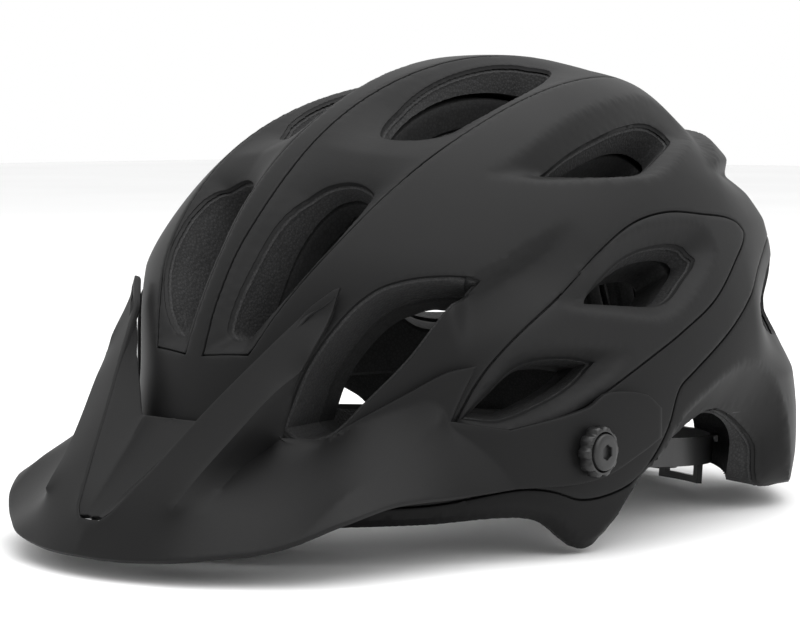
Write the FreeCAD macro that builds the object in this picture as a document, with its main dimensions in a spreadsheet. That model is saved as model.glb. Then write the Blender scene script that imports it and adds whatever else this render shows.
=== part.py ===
"""Trail cycling helmet with a two-layer liner, an adjustable visor and a dial-fit cradle.

Frame: millimetres. +X is the wearer's left, +Y the back of the head, +Z up.
The origin is the centre of the head, which is also the centre on which the two liners slip.
"""
import FreeCAD, Part
import math
import os
from FreeCAD import Vector as V

doc = FreeCAD.newDocument("TrailHelmet")

# ---------------------------------------------------------------- driving dimensions
DIMENSIONS = {
    "hull_half_width": 108, "hull_half_length": 137.5, "hull_height": 122,
    "hull_centre_y": -2.5, "hull_lean": 0.15,
    "shell_thick": 2.0, "floor_level": -40, "back_arch_half_width": 46, "back_arch_top": 6,
    "slip_half_width": 96, "slip_radius": 110, "slip_gap": 0.8,
    "head_half_width": 79, "head_half_length": 99, "head_height": 98,
    "pad_thick": 5, "pad_gap": 0.4,
    "visor_thick": 2.8, "visor_insert_thick": 1.2, "visor_gap": 1.8, "seat_margin": 1.5,
    "pivot_y": -59, "pivot_z": -5, "arm_face_x": 104.6,
    "knob_radius": 8.4, "knob_height": 4.6, "knob_lobes": 10, "knob_scallop": 1.6,
    "cap_radius": 6.1, "cap_height": 2.2, "hex_across": 4.5, "hex_depth": 1.6,
    "bolt_radius": 2.5, "bolt_length": 24, "bolt_clearance": 0.05, "arm_hole_radius": 3.4,
    "washer_radius": 7, "washer_thick": 0.6, "nut_radius": 5, "nut_length": 8, "nut_face_x": 94.4,
    "plug_radius": 4, "plug_height": 3.4, "plug_travel": 7,
    "anchor_width": 16, "anchor_depth": 4, "anchor_height": 7,
    "cradle_radius": 80, "cradle_centre_y": 20, "cradle_front_y": -45, "cradle_z": -10,
    "cradle_tilt": 5.2, "strip_thick": 1.4, "strip_height": 10, "loop_drop": 10.5,
    "belt_gap": 0.8, "belt_thick": 1.2,
    "belt_reach_deg": 62, "belt_overlap_deg": 9, "rack_height": 2.3,
    "temple_pin_radius": 2.5, "temple_pin_clearance": 0.08,
    "housing_width": 46, "housing_height": 26, "housing_depth": 9, "housing_wall": 1.6,
    "dial_radius": 12, "dial_depth": 9, "dial_lobes": 16, "dial_scallop": 1.3,
    "pinion_radius": 2.6, "dial_axle_radius": 2.0, "axle_clearance": 0.06,
    "stem_width": 13, "stem_thick": 1.8, "stem_height": 44,
    "rail_wall": 1.6, "rail_play": 0.6, "rail_low": 18, "rail_high": 40,
}

sheet = doc.addObject("Spreadsheet::Sheet", "Dims")
for row, (alias, value) in enumerate(DIMENSIONS.items(), start=1):
    sheet.set(f"A{row}", alias)
    sheet.set(f"B{row}", str(value))
    sheet.setAlias(f"B{row}", alias)
doc.recompute()


def dim(alias):
    """A driving dimension, read back from the sheet."""
    return float(sheet.get(alias))


# ---------------------------------------------------------------- outlines, wearer's left side
# Each outline is a few points near the hull, given as (x, y, z). Cutters run through them from
# the origin, so only their directions count.
WINDOW_FRONT = [(14, -129, 33), (15, -121, 51), (20, -104, 72), (31, -91, 81), (39, -90, 75),
                (35, -109, 57), (28, -121, 44), (20, -129, 32)]
WINDOW_TOP = [(22, -64, 98), (15, -42, 110), (14, -5, 118), (20, 22, 117), (34, 14, 115),
              (42, -15, 110), (43, -40, 103), (36, -60, 98)]
VENT_BROW = [(33, -129, 3), (45, -119, 2), (57, -106, 18), (68, -93, 37), (76, -81, 50),
             (65, -93, 51), (53, -106, 46), (43, -117, 31), (36, -126, 13)]
VENT_UPPER = [(72, -40, 84), (69, -15, 95), (65, 12, 100), (62, 34, 101), (66, 40, 97),
              (75, 22, 91), (81, 0, 84), (78, -24, 82)]
VENT_SIDE = [(94, -47, 43), (94, -34, 53), (96, -5, 59), (98, 10, 57), (101, 0, 47), (102, -14, 40)]
VENT_LOW = [(77, -88, 6), (87, -76, 23), (97, -58, 23), (98, -54, 21), (92, -72, 12)]
VENT_REAR = [(12, 112, 85), (30, 108, 82), (42, 114, 60), (38, 124, 38), (24, 130, 34), (12, 130, 46)]
CHANNEL = [(4, -133, 25), (4, -119, 55), (5, -71, 99), (6, -27, 117), (7, 30, 117), (8, 70, 104),
           (14, 84, 96), (24, 66, 104), (36, 36, 112), (46, 0, 112), (48, -45, 100), (43, -88, 76),
           (36, -109, 57), (27, -123, 39), (21, -130, 26)]
SIDE_PANEL = [(74, -91, 5), (79, -85, 18), (85, -77, 29), (91, -57, 45), (91, -36, 58), (91, -1, 69),
              (91, 43, 65), (93, 46, 60), (98, 32, 52), (103, 12, 39), (105, -9, 30), (105, -26, 23),
              (102, -45, 14), (93, -71, 5), (80, -87, 1)]

# Side-view lines, (y, z) from front to back: the lower rim, and the parting line of the shells.
RIM = [(-170, -31), (-100, -29), (-77, -26), (-64, -36), (-57, -42), (-48, -42), (-38, -33),
       (-28, -20), (-20, -14), (-6, -8), (6, -3), (16, -1), (28, -6), (44, -15), (76, -31),
       (98, -42), (170, -42)]
PARTING = [(-170, -25), (-77, -17), (-58, -21), (-45, -20), (-33, -16), (-25, -9), (-16, 9), (4, 21),
           (22, 30), (53, 48), (80, 58), (170, 62)]

# Visor sections from the centre line to the left arm's end: lower edge, middle, upper edge.
VISOR_SECTIONS = [
    [(0, -185, -33.5), (0, -166, -12), (0, -142.5, 4.5)],
    [(14, -184, -33), (14, -164, -10), (14, -142.5, 6)],
    [(26, -180, -32.5), (26, -158, -4), (28, -131, 24)],
    [(42, -173, -31.5), (37, -150, 2), (47.5, -115.5, 47.5)],
    [(58.5, -163, -28.6), (49, -150, -9), (38.5, -136, 3)],
    [(69, -155, -25), (60, -138, -10), (47.5, -124, 1)],
    [(75.5, -142, -20.5), (66, -129, -6), (54.5, -116.5, 6)],
    [(77, -120, -17.5), (72, -112, -1), (64.5, -106, 13)],
    [(82, -97, -17), (80, -94, 2), (81, -88, 22.5)],
    [(88, -82, -16.5), (84, -85, -6), (84, -85, 3)],
    [(98, -66, -16), (97, -68, -6), (96, -69, 5)],
    [(104, -54, -14), (103, -54, -3), (103, -54, 10)],
    [(107, -42, -10), (107, -42, 1), (106, -42, 12)],
    [(108, -31, -6), (108, -31, 2), (108, -31, 10)],
]
VISOR_SEAM = [(-5.6, -22.8), (5.6, -22.8), (45, 46), (45, 60), (-45, 60), (-45, 46)]
VISOR_CORE = V(0, -60, -40)


# ---------------------------------------------------------------- shared geometry
def ellipsoid(half_x, half_y, half_z, lean=0.0, centre_y=0.0):
    """A solid ellipsoid, leant towards +Y with height, with its seam at the back."""
    ball = Part.makeSphere(100)
    ball.rotate(V(0, 0, 0), V(0, 0, 1), 90)
    matrix = FreeCAD.Matrix()
    matrix.A11 = half_x / 100
    matrix.A22 = half_y / 100
    matrix.A23 = lean * half_z / 100
    matrix.A24 = centre_y
    matrix.A33 = half_z / 100
    return ball.transformGeometry(matrix)


def hull(inset=0.0):
    """The helmet's outer form, or the same form set in by some millimetres."""
    return ellipsoid(dim("hull_half_width") - inset, dim("hull_half_length") - inset,
                     dim("hull_height") - inset, dim("hull_lean"), dim("hull_centre_y"))


def slip_ball(inset=0.0):
    """The surface on which the liners slip: round about X, so that nodding keeps the gap."""
    radius = dim("slip_radius") - inset
    return ellipsoid(dim("slip_half_width") - inset, radius, radius)


def head(inset=0.0):
    return ellipsoid(dim("head_half_width") - inset, dim("head_half_length") - inset,
                     dim("head_height") - inset)


def hull_radius(direction):
    """Distance from the origin to the hull along a unit direction."""
    a = dim("hull_half_width")
    b = dim("hull_half_length")
    c = dim("hull_height")
    upright_y = direction.y - dim("hull_lean") * direction.z
    centre_y = dim("hull_centre_y")
    p = (direction.x / a) ** 2 + (upright_y / b) ** 2 + (direction.z / c) ** 2
    q = -2 * upright_y * centre_y / b ** 2
    r = (centre_y / b) ** 2 - 1
    return (-q + math.sqrt(q * q - 4 * p * r)) / (2 * p)


def radial_cutter(points, smooth=True, near=40, far=175):
    """A solid cone frustum from near the origin out through an outline."""
    rays = [V(*point).normalize() for point in points]
    axis = V(0, 0, 0)
    for ray in rays:
        axis = axis + ray
    axis.normalize()
    wires = []
    for reach in (near, far):
        corners = [ray * (reach / ray.dot(axis)) for ray in rays]
        if smooth:
            curve = Part.BSplineCurve()
            curve.interpolate(Points=corners, PeriodicFlag=True)
            wires.append(Part.Wire(curve.toShape()))
        else:
            wires.append(Part.makePolygon(corners + corners[:1]))
    return Part.makeLoft(wires, True, True)


def mirrored(shape):
    return shape.mirror(V(0, 0, 0), V(1, 0, 0))


def both_sides(shape):
    return [shape, mirrored(shape)]


def side_prism(line, level):
    """Everything between a side-view line and a level, over the whole width."""
    reach = 2 * dim("hull_half_width")
    corners = [V(-reach, y, z) for y, z in line]
    corners += [V(-reach, line[-1][0], level), V(-reach, line[0][0], level), corners[0]]
    return Part.Face(Part.makePolygon(corners)).extrude(V(2 * reach, 0, 0))


def feature(name, shape, placement=FreeCAD.Placement()):
    """A sub-part whose shape is worked out here from the sheet's dimensions."""
    part = doc.addObject("Part::Feature", name)
    part.Label = name
    part.Shape = shape
    part.Placement = placement.multiply(shape.Placement)
    return part


def bind(part, **expressions):
    for prop, expression in expressions.items():
        part.setExpression(prop.replace("__", "."), expression)


def cylinder(name, radius, height, x, y, z, turn_axis=V(0, 1, 0), turn=90):
    """A Part cylinder bound to the sheet. By default it points along +X."""
    part = doc.addObject("Part::Cylinder", name)
    part.Placement = FreeCAD.Placement(V(0, 0, 0), FreeCAD.Rotation(turn_axis, turn))
    bind(part, Radius=radius, Height=height,
         Placement__Base__x=x, Placement__Base__y=y, Placement__Base__z=z)
    return part


def boolean(kind, name, base, tool):
    part = doc.addObject("Part::" + kind, name)
    part.Label = name
    part.Base = base
    part.Tool = tool
    return part


def fuse(name, parts):
    part = doc.addObject("Part::MultiFuse", name)
    part.Label = name
    part.Shapes = parts
    return part


def mirror_of(name, part):
    """The wearer's right copy of a left sub-part."""
    copy = doc.addObject("Part::Mirroring", name)
    copy.Label = name
    copy.Source = part
    copy.Normal = V(1, 0, 0)
    return copy


# ---------------------------------------------------------------- cutters shared by the layers
vents = []
for outline in (WINDOW_FRONT, WINDOW_TOP, VENT_BROW, VENT_UPPER, VENT_SIDE, VENT_LOW, VENT_REAR):
    vents += both_sides(radial_cutter(outline))
below_rim = side_prism(RIM, -120)
back_arch = Part.makeCylinder(dim("back_arch_half_width"), 160, V(0, 60, dim("back_arch_top")
                              - dim("back_arch_half_width")), V(0, 1, 0))
below_floor = Part.makeBox(400, 500, 100, V(-200, -250, dim("floor_level") - 100))
rim_tools = [below_rim, back_arch, below_floor]

pivot = V(0, dim("pivot_y"), dim("pivot_z"))
bolt_hole = Part.makeCylinder(dim("arm_hole_radius"), 300, pivot - V(150, 0, 0), V(1, 0, 0))


# ---------------------------------------------------------------- outer shells and panels
def make_shells():
    layer = hull().cut(hull(dim("shell_thick"))).cut(rim_tools).cut(vents).cut(bolt_hole)
    below_parting = side_prism(PARTING, -120)
    channels = both_sides(radial_cutter(CHANNEL, smooth=False))
    panels = both_sides(radial_cutter(SIDE_PANEL, smooth=False))
    feature("lower_shell", layer.common(below_parting))
    upper = layer.cut(below_parting)
    feature("upper_shell", upper.cut(channels + panels))
    for side, channel, panel in zip(("left", "right"), channels, panels):
        feature("channel_panel_" + side, largest(upper.common(channel)))
        feature("side_panel_" + side, upper.common(panel))


# ---------------------------------------------------------------- liners
# Places of the slip plugs on the slip surface, wearer's left side, as directions.
PLUG_PLACES = [(80, -45, 38), (80, 45, 38)]
INNER_RIM = [(-170, -20), (-76, -20), (-60, -1), (170, -1)]


def slip_point(direction, inset=0.0):
    ray = V(*direction).normalize()
    a = dim("slip_half_width") - inset
    b = dim("slip_radius") - inset
    return ray * (1 / math.sqrt((ray.x / a) ** 2 + (ray.y ** 2 + ray.z ** 2) / b ** 2)), ray


def make_liners():
    pockets = []
    plugs = []
    for place in PLUG_PLACES:
        foot, ray = slip_point(place, dim("slip_gap"))
        pockets += both_sides(Part.makeCylinder(dim("plug_radius") + dim("plug_travel"),
                                                dim("plug_height") + 9, foot - ray * 6, ray))
        plugs += both_sides(Part.makeCylinder(dim("plug_radius"), dim("plug_height") + 2,
                                              foot - ray * 2, ray))
    nut_bores = both_sides(Part.makeCylinder(dim("nut_radius"), 60, pivot
                           + V(dim("nut_face_x") - dim("nut_length"), 0, 0), V(1, 0, 0)))
    bolt_room = Part.makeCylinder(dim("bolt_radius") + 0.6, 300, pivot - V(150, 0, 0), V(1, 0, 0))
    outer = hull(dim("shell_thick")).cut(slip_ball()).cut(rim_tools + vents + pockets + nut_bores)
    outer = outer.cut(bolt_room).cut(make_strap_anchors())
    feature("outer_liner", largest(outer))

    slot_half = rail_half_width()
    stem_slot = Part.makeBox(2 * slot_half, 30, 60, V(-slot_half, 90, -12))
    inner = slip_ball(dim("slip_gap")).cut(head())
    inner = inner.cut([side_prism(INNER_RIM, -120), back_arch, stem_slot] + vents + plugs)
    inner = inner.cut(both_sides(temple_hanger()))
    feature("inner_liner", largest(inner))
    feature("slip_plugs", Part.makeCompound(plugs))


def largest(shape):
    """The main solid of a cut, without crumbs."""
    return max(shape.Solids, key=lambda solid: solid.Volume)


def strap_anchor(place_y, place_x):
    """A slotted plastic block moulded into the liner's rim."""
    width = dim("anchor_width")
    depth = dim("anchor_depth")
    height = dim("anchor_height")
    block = Part.makeBox(depth, width, height, V(place_x, place_y - width / 2, -2))
    slot = Part.makeBox(depth / 2, width - 6, height, V(place_x + depth / 4, place_y - width / 2 + 3, -5))
    return block.cut(slot)


ANCHOR_PLACES = {"front_strap_anchors": (-22, 96.5), "rear_strap_anchors": (38, 93)}


def make_strap_anchors():
    anchors = []
    for name, (place_y, place_x) in ANCHOR_PLACES.items():
        pair = both_sides(strap_anchor(place_y, place_x))
        if not doc.getObject(name):
            feature(name, Part.makeCompound(pair))
        anchors += pair
    return anchors


# ---------------------------------------------------------------- pads
PAD_BOXES = {
    "brow_pad": ((-58, -130, -17), (58, -50, 8)),
    "crown_pad": ((-13, -70, 40), (13, 60, 130)),
    "side_pad_left": ((20, -40, 62), (44, 45, 130)),
    "side_pad_right": ((-44, -40, 62), (-20, 45, 130)),
    "rear_pad": ((-34, 50, 52), (34, 130, 66)),
}


def make_pads():
    outer = head(dim("pad_gap"))
    layer = outer.cut(head(dim("pad_gap") + dim("pad_thick")))
    for name, (low, high) in PAD_BOXES.items():
        size = V(*high) - V(*low)
        feature(name, layer.common(Part.makeBox(size.x, size.y, size.z, V(*low))))


# ---------------------------------------------------------------- visor
def clear_of_hull(point, offset):
    """The point, pushed out along its ray until it stands at least this far off the hull."""
    reach = point.Length
    ray = V(point).normalize()
    return ray * max(reach, hull_radius(ray) + offset)


def visor_grid():
    """Outer points of every section, from the right arm's end to the left arm's end."""
    offset = dim("visor_gap") + dim("visor_thick")
    left = [[clear_of_hull(V(*point), offset) for point in section] for section in VISOR_SECTIONS]
    right = [[V(-p.x, p.y, p.z) for p in section] for section in reversed(left[1:])]
    return right + left


def inward(grid, i, j):
    """Unit inward normal of the visor's outer surface at one grid point."""
    along = grid[min(i + 1, len(grid) - 1)][j] - grid[max(i - 1, 0)][j]
    upward = grid[i][min(j + 1, 2)] - grid[i][max(j - 1, 0)]
    normal = along.cross(upward).normalize()
    if normal.dot(grid[i][j] - VISOR_CORE) > 0:
        normal = normal * -1
    return normal


def visor_layer(thick, proud=0.0):
    """The visor's sheet from proud of its outer face to a depth, as a closed shell of flat facets."""
    grid = visor_grid()
    rings = []
    for i, section in enumerate(grid):
        inner = [clear_of_hull(point + inward(grid, i, j) * thick, dim("visor_gap"))
                 for j, point in enumerate(section)]
        outer = [point - inward(grid, i, j) * proud for j, point in enumerate(section)]
        rings.append(outer + inner[::-1])
    facets = []
    for ring, following in zip(rings, rings[1:]):
        for k in range(len(ring)):
            m = (k + 1) % len(ring)
            facets += [(ring[k], following[k], following[m]), (ring[k], following[m], ring[m])]
    for ring in (rings[0], rings[-1]):
        a, b, c, d, e, f = ring
        facets += [(a, b, e), (a, e, f), (b, c, d), (b, d, e)]
    faces = [Part.Face(Part.makePolygon(list(facet) + [facet[0]])) for facet in facets]
    solid = Part.Solid(Part.makeShell(faces))
    if solid.Volume < 0:
        solid.reverse()
    return solid


def make_visor():
    seam = [V(x, -200, z) for x, z in VISOR_SEAM]
    seam_prism = Part.Face(Part.makePolygon(seam + seam[:1])).extrude(V(0, 100, 0))
    recess = visor_layer(dim("visor_insert_thick"), proud=4).common(seam_prism)
    sheet_solid = visor_layer(dim("visor_thick"))
    insert = sheet_solid.common(recess)
    seats = [Part.makeCylinder(dim("knob_radius") + dim("seat_margin"), 20,
                               pivot + V(side * dim("arm_face_x"), 0, 0), V(side, 0, 0)) for side in (1, -1)]
    washer_room = Part.makeCylinder(dim("washer_radius") + dim("seat_margin"), 240, pivot - V(120, 0, 0),
                                    V(1, 0, 0)).common(hull(-dim("visor_gap")))
    shell = sheet_solid.cut(recess).cut([bolt_hole, washer_room] + seats)
    feature("visor_shell", largest(shell))
    feature("visor_insert", largest(insert))


def make_washers():
    """Nylon washers that lie between the visor's arms and the shell."""
    ring = Part.makeCylinder(dim("washer_radius"), 20, pivot + V(90, 0, 0), V(1, 0, 0))
    layer = hull(-dim("washer_thick")).cut(hull(-0.05))
    washer = ring.common(layer).cut(bolt_hole)
    feature("visor_washer_left", washer)
    feature("visor_washer_right", mirrored(washer))


# ---------------------------------------------------------------- visor knobs, bolts and nuts
def make_knob():
    y = "Dims.pivot_y"
    z = "Dims.pivot_z"
    face = "Dims.arm_face_x + 0.4"
    disc = cylinder("knob_disc", "Dims.knob_radius", "Dims.knob_height", face, y, z)
    cuts = [cylinder("knob_bore", "Dims.bolt_radius + 0.03", "60", "90", y, z),
            cylinder("knob_seat", "Dims.cap_radius + 0.15", "20", face + " + Dims.knob_height - 1", y, z)]
    for i in range(int(dim("knob_lobes"))):
        angle = f"{i} * 360deg / Dims.knob_lobes"
        cuts.append(cylinder(f"knob_scallop_{i}", "Dims.knob_scallop", "60", "90",
                             f"{y} + (Dims.knob_radius + 1) * cos({angle})",
                             f"{z} + (Dims.knob_radius + 1) * sin({angle})"))
    knob = boolean("Cut", "visor_knob_left", disc, fuse("knob_cuts", cuts))

    cap = cylinder("bolt_cap", "Dims.cap_radius", "Dims.cap_height", face + " + Dims.knob_height - 0.8", y, z)
    shank = cylinder("bolt_shank", "Dims.bolt_radius", "Dims.bolt_length",
                     face + " + Dims.knob_height - Dims.bolt_length - 0.2", y, z)
    socket = doc.addObject("Part::Prism", "bolt_socket")
    socket.Polygon = 6
    socket.Placement = FreeCAD.Placement(V(0, 0, 0), FreeCAD.Rotation(V(0, 1, 0), 90))
    bind(socket, Circumradius="Dims.hex_across / sqrt(3)", Height="20",
         Placement__Base__x=face + " + Dims.knob_height + Dims.cap_height - 0.8 - Dims.hex_depth",
         Placement__Base__y=y, Placement__Base__z=z)
    bolt = boolean("Cut", "visor_bolt_left", fuse("bolt_body", [cap, shank]), socket)
    mirror_of("visor_knob_right", knob)
    mirror_of("visor_bolt_right", bolt)

    sleeve = cylinder("nut_sleeve", "Dims.nut_radius", "Dims.nut_length",
                      "Dims.nut_face_x - Dims.nut_length", y, z)
    bore = cylinder("nut_bore", "Dims.bolt_radius + Dims.bolt_clearance", "60", "60", y, z)
    nut = boolean("Cut", "visor_nut_left", sleeve, bore)
    mirror_of("visor_nut_right", nut)


# ---------------------------------------------------------------- fit cradle
# Moves what is built around the level cradle ring onto its tilted plane.
TILT = FreeCAD.Placement(V(0, 0, dim("cradle_z")), FreeCAD.Rotation(V(1, 0, 0), -dim("cradle_tilt")),
                         V(0, dim("cradle_front_y"), 0))


def ring_sector(inner, outer, low, high, start, end):
    """A ring's sector about the cradle's centre. Angles run from the back, positive to the left."""
    centre = V(0, dim("cradle_centre_y"), low)
    ring = Part.makeCylinder(outer, high - low, centre, V(0, 0, 1), end - start)
    ring = ring.cut(Part.makeCylinder(inner, high - low, centre))
    ring.rotate(V(0, dim("cradle_centre_y"), 0), V(0, 0, 1), 90 - end)
    return ring


def make_cradle():
    inner = dim("cradle_radius")
    outer = inner + dim("strip_thick")
    half = dim("strip_height") / 2
    front = dim("cradle_front_y")
    centre = dim("cradle_centre_y")
    sector = ring_sector(inner, outer, -half, half, -90, 90)
    arms = both_sides(Part.makeBox(dim("strip_thick"), centre - front, 2 * half, V(inner, front, -half)))
    eyes = both_sides(Part.makeCylinder(half, dim("strip_thick"), V(inner, front, 0), V(1, 0, 0)))
    hole = dim("temple_pin_radius") + dim("temple_pin_clearance")
    bore = Part.makeCylinder(hole, 300, V(-150, front, 0), V(1, 0, 0))
    loops = both_sides(ring_sector(inner, outer + 0.8, -half - dim("loop_drop"), -half, 16, 38))
    windows = both_sides(ring_sector(inner - 2, outer + 3, -half - dim("loop_drop") + 2.6, -half + 0.5,
                                     19, 35))
    back_y = centre + outer
    stem = Part.makeBox(dim("stem_width"), dim("stem_thick"), dim("stem_height"),
                        V(-dim("stem_width") / 2, back_y - dim("stem_thick"), -half))
    frame = sector.fuse(arms + eyes + loops + [stem]).cut([bore] + windows).removeSplitter()
    feature("cradle_frame", largest(frame), TILT)
    make_belts(outer)
    make_housing(back_y)
    feature("temple_hanger_left", temple_hanger())
    feature("temple_hanger_right", mirrored(temple_hanger()))


def make_belts(ring_outer):
    """Two toothed belts that slide round inside the housing, one above the pinion, one below."""
    inner = ring_outer + dim("belt_gap")
    outer = inner + dim("belt_thick")
    low = dim("pinion_radius") + 0.12
    high = low + dim("rack_height")
    reach = dim("belt_reach_deg")
    overlap = dim("belt_overlap_deg")
    upper = ring_sector(inner, outer, low, high, -overlap, reach)
    lower = ring_sector(inner, outer, -high, -low, -reach, overlap)
    feature("fit_belt_left", upper, TILT)
    feature("fit_belt_right", lower, TILT)


def make_housing(back_y):
    width = dim("housing_width")
    height = dim("housing_height")
    depth = dim("housing_depth")
    wall = dim("housing_wall")
    front = back_y + 0.2
    block = Part.makeBox(width, depth, height, V(-width / 2, front, -height / 2))
    block = block.makeFillet(4, [edge for edge in block.Edges if is_along_y(edge)])
    room = Part.makeBox(width + 10, depth - wall, 2 * (dim("pinion_radius") + dim("rack_height")) + 1.2,
                        V(-width / 2 - 5, front - 0.1, -dim("pinion_radius") - dim("rack_height") - 0.6))
    stem_slot = Part.makeBox(dim("stem_width") + 1, dim("stem_thick") + 0.4, height,
                             V(-dim("stem_width") / 2 - 0.5, front - 0.2, -height / 2))
    axle_bore = Part.makeCylinder(dim("dial_axle_radius") + dim("axle_clearance"), 40,
                                  V(0, front, 0), V(0, 1, 0))
    feature("dial_housing", block.cut([room, stem_slot, axle_bore]), TILT)

    pinion = Part.makeCylinder(dim("pinion_radius"), 3.2, V(0, front + 2.2, 0), V(0, 1, 0))
    axle = Part.makeCylinder(dim("dial_axle_radius"), depth + 3, V(0, front + 2.2, 0), V(0, 1, 0))
    dial_y = front + depth + 0.4
    dial = Part.makeCylinder(dim("dial_radius"), dim("dial_depth"), V(0, dial_y, 0), V(0, 1, 0))
    cuts = [axle]
    for i in range(int(dim("dial_lobes"))):
        angle = 2 * math.pi * i / dim("dial_lobes")
        reach = dim("dial_radius") + 0.5
        cuts.append(Part.makeCylinder(dim("dial_scallop"), 40,
                                      V(reach * math.cos(angle), front, reach * math.sin(angle)), V(0, 1, 0)))
    feature("fit_dial", dial.cut(cuts), TILT)
    feature("dial_pinion", pinion.fuse(axle).removeSplitter(), TILT)


def is_along_y(edge):
    direction = edge.Vertexes[1].Point - edge.Vertexes[0].Point
    return abs(direction.normalize().y) > 0.99


def temple_hanger():
    """A tab that hangs from the inner liner and carries the cradle's hinge pin."""
    x = dim("cradle_radius") + dim("strip_thick") + 0.6
    y = dim("cradle_front_y")
    z = dim("cradle_z")
    tab = Part.makeBox(2.0, 10, 14.5, V(x, y - 5, z - 3.5))
    pin = Part.makeCylinder(dim("temple_pin_radius"), 4, V(x - 3.4, y, z), V(1, 0, 0))
    return tab.fuse(pin).removeSplitter()


def rail_half_width():
    return dim("stem_width") / 2 + dim("rail_play") + dim("rail_wall")


def make_height_rail():
    """The channel in the inner liner's back that guides the cradle's stem."""
    half = rail_half_width()
    room_half = half - dim("rail_wall")
    lip_half = room_half - 2.5
    low = dim("rail_low")
    height = dim("rail_high") - low
    stem_y = dim("cradle_centre_y") + dim("cradle_radius") + dim("strip_thick") - dim("stem_thick")
    outer = Part.makeBox(2 * half, 7.4, height, V(-half, stem_y - 3.4, low))
    room = Part.makeBox(2 * room_half, 5.2, height, V(-room_half, stem_y - 1.8, low))
    opening = Part.makeBox(2 * lip_half, 4, height, V(-lip_half, stem_y - 5, low))
    feature("height_rail", outer.cut([room, opening]), TILT)


make_shells()
make_liners()
make_pads()
make_visor()
make_washers()
make_knob()
make_cradle()
make_height_rail()
doc.recompute()

NODES = [
    "upper_shell", "lower_shell", "side_panel_left", "side_panel_right",
    "channel_panel_left", "channel_panel_right", "outer_liner", "inner_liner", "slip_plugs",
    "front_strap_anchors", "rear_strap_anchors",
    "brow_pad", "crown_pad", "side_pad_left", "side_pad_right", "rear_pad",
    "visor_shell", "visor_insert", "visor_washer_left", "visor_washer_right",
    "visor_knob_left", "visor_knob_right", "visor_bolt_left", "visor_bolt_right",
    "visor_nut_left", "visor_nut_right",
    "cradle_frame", "dial_housing", "fit_dial", "dial_pinion", "fit_belt_left", "fit_belt_right",
    "temple_hanger_left", "temple_hanger_right", "height_rail",
]

for part in doc.Objects:
    if "Invalid" in part.State or "Error" in part.State:
        raise RuntimeError(f"{part.Label} failed to build: {part.State}")

os.makedirs("parts", exist_ok=True)
for name in NODES:
    shape = doc.getObjectsByLabel(name)[0].Shape
    if shape.isNull() or not shape.isValid():
        raise RuntimeError(f"{name} has no valid shape")
    low = shape.BoundBox
    print(f"{name:22s} solids {len(shape.Solids)} volume {shape.Volume / 1000:9.2f} cm3 "
          f"x {low.XMin:7.1f} {low.XMax:7.1f} y {low.YMin:7.1f} {low.YMax:7.1f} z {low.ZMin:6.1f} {low.ZMax:6.1f}")
    shape.exportStep(f"parts/{name}.step")
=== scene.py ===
"""The looks of a matte black trail cycling helmet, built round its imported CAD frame.

The part's own frame: +X is the wearer's left, +Y the back, +Z up, and the origin is the head's
centre. Points are worked out in millimetres, and add_mesh turns them into metres.

The shells and liners are patches of one map of directions. A direction's place on the map is its
angle from a point between the left side and the crown, so half the helmet is one flat sheet. It is
triangulated there round its outlines, lifted to its radius, and mirrored.
"""
import math

import bpy
import numpy as np
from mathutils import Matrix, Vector
from mathutils.geometry import delaunay_2d_cdt


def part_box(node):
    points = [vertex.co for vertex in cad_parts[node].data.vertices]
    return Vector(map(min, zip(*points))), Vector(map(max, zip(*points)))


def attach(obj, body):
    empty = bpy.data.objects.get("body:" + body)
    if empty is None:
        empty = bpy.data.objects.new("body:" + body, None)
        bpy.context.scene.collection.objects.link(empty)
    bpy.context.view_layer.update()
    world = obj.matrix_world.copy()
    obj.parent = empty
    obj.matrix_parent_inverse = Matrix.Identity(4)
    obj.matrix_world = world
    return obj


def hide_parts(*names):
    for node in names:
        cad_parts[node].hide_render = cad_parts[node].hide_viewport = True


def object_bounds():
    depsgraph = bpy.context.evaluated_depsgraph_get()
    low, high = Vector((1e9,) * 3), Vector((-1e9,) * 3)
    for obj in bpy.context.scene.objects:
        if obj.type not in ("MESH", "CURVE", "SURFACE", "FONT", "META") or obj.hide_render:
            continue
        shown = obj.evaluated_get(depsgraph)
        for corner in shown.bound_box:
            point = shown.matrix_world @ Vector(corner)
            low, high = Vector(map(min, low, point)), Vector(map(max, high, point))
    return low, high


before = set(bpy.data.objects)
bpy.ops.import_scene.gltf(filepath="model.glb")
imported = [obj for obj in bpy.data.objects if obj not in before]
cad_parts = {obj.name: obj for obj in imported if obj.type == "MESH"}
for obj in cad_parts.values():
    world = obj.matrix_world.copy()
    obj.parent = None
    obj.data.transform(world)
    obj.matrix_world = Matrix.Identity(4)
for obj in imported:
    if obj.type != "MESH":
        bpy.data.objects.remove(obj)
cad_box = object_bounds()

MM = 0.001
SIDES = (("left", False), ("right", True))

# ---- the helmet's form, in millimetres
# The hull is a superellipsoid with a longer front half than back half, leaning back as it rises.
HALF_WIDTH = 108.0
FRONT = 140.0
BACK = 135.0
HEIGHT = 124.0
LEAN = 0.15
ROUNDNESS = 2.12
BROW_NARROWING = 0.27
FIRST_RADIUS = 120.0
HULL_STEPS = 12
# The surface that the inner liner slips on, and the half sizes of the head.
SLIP_WIDTH = 96.0
SLIP_RADIUS = 110.0
SLIP_GAP = 1.2
HEAD = (79.0, 99.0, 98.0)
SHELL_THICK = 1.8
PARTING_GAP = 0.3
EDGE_ROUND = 0.45
# Spacing of the triangles, and of the points where a layer meets a level.
SPACING = 1.6
LEVEL_SPACING = 1.2
# Closest that a grid point comes to a line, over the spacing, and what counts as on the centre plane.
GRID_CLEARANCE = 0.72
CENTRE_SNAP = 0.02


def smooth(x, low, high):
    """0 at low, 1 at high, with soft ends."""
    t = np.clip((np.asarray(x, float) - low) / (high - low), 0, 1)
    return t * t * (3 - 2 * t)


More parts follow.
